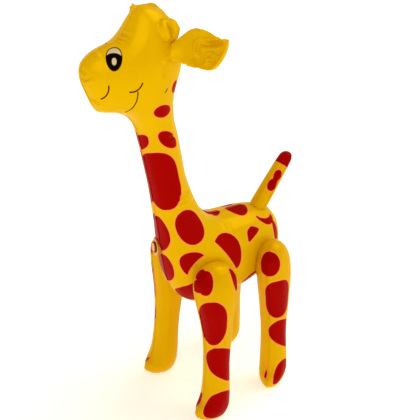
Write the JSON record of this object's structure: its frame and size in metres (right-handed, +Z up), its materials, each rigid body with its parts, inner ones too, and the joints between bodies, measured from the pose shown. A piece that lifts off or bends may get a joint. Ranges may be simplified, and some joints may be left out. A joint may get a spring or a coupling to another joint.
{
  "type": "inflatable giraffe",
  "caption": "Blown-up vinyl toy giraffe with a long neck, cupped ears, an upright tail and tube legs, yellow with printed red spots, standing by its own weight.",
  "frame": {"origin": "middle of the object's box, at the floor it stands on", "axes": "+Z up; the giraffe faces -Y, and +X is its left side"},
  "size_m": [0.2034, 0.319, 0.584],
  "materials": {
    "printed_film": "glossy yellow PVC film with a red spot print and a printed face",
    "leg_film": "glossy yellow PVC film, red spots printed on the outer panels",
    "tail_film": "glossy yellow PVC film with a printed red tip",
    "plain_film": "glossy plain yellow PVC film",
    "valve": "moulded translucent soft PVC"
  },
  "bodies": {
    "root": {"body": "printed_film", "leg_front_left": "leg_film", "leg_front_right": "leg_film", "leg_rear_left": "leg_film", "leg_rear_right": "leg_film", "tail": "tail_film", "ear_left": "plain_film", "ear_right": "plain_film", "horn_left": "plain_film", "horn_right": "plain_film", "valve_base": "valve", "valve_plug": "valve"}
  },
  "joints": []
}
